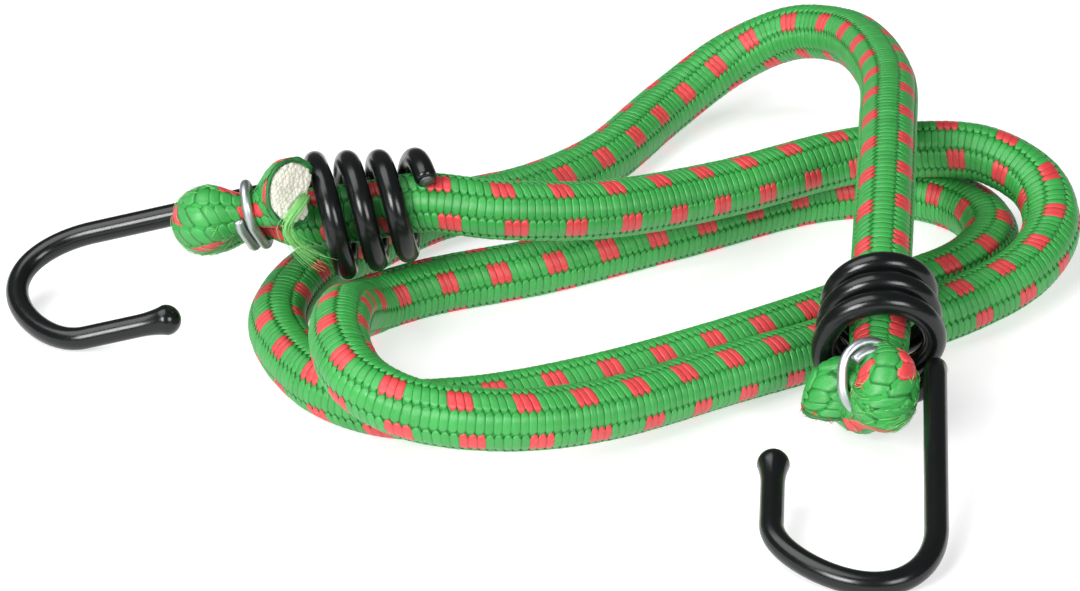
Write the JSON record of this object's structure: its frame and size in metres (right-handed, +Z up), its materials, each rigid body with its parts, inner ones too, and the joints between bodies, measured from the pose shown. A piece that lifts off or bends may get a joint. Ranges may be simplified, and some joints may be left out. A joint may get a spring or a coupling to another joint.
{
  "type": "bungee cord",
  "caption": "Elastic braided bungee cord lying in loose loops, with a coated wire hook coiled on each folded and tied end; stretches to strap a load down.",
  "frame": {"origin": "on the table, under the middle of the box round the two hooks", "axes": "+X to the right as pictured, from the left hook towards the right one, +Y away from the viewer, +Z up"},
  "size_m": [0.1478, 0.1512, 0.0249],
  "materials": {
    "green_braid": "tight round braid of green yarn with short red flecks",
    "latex_core": "bundle of cream rubber threads",
    "black_coating": "black dipped vinyl, half gloss",
    "hook_steel": "bare drawn steel at the cut end",
    "tie_steel": "bright galvanised wire"
  },
  "bodies": {
    "cord": {"braided_sheath": "green_braid", "rubber_core": "latex_core", "left_tie_wire": "tie_steel", "right_tie_wire": "tie_steel"},
    "left_hook": {"left_hook_coating": "black_coating", "left_hook_wire": "hook_steel"},
    "right_hook": {"right_hook_coating": "black_coating", "right_hook_wire": "hook_steel"}
  },
  "joints": [
    {"name": "left_hook_swivel", "type": "hinge", "parent": "cord", "child": "left_hook", "pos_m": [-0.0196, 0.0329, 0.01515], "axis": [-0.982, 0.043, -0.184], "range_deg": [-45, 60]},
    {"name": "right_hook_swivel", "type": "hinge", "parent": "cord", "child": "right_hook", "pos_m": [0.0539, -0.0009, 0.01075], "axis": [-0.058, -0.9528, -0.2979], "range_deg": [-45, 100]}
  ]
}
